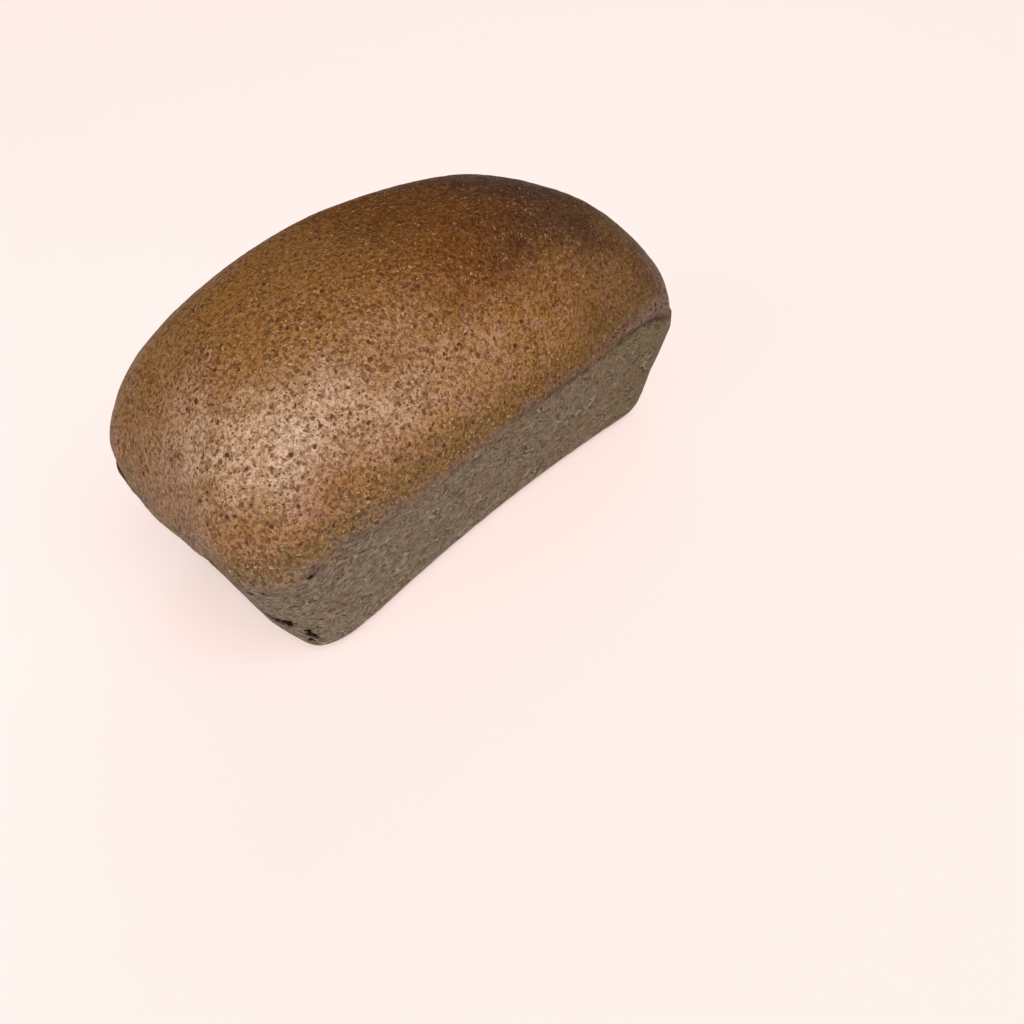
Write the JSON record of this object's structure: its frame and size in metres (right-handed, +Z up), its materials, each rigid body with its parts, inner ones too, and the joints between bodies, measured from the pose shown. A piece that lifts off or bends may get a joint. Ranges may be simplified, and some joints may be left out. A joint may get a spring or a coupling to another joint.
{
  "type": "tin loaf",
  "caption": "Whole tin loaf of dark wholemeal bread: flared lower half from the baking tin, high domed crown with a lip over the rim, flat base.",
  "frame": {"origin": "middle of the flat base, at the bottom centre of the bounding box", "axes": "+X along the loaf, from the near end in the picture to the far end; +Y across it, away from the side that shows; +Z up, from the base to the crown"},
  "size_m": [0.215, 0.1132, 0.1098],
  "materials": {
    "crust": "matt to satin baked bread crust, brown crown and grey-beige tin sides"
  },
  "bodies": {
    "root": {"loaf": "crust"}
  },
  "joints": []
}
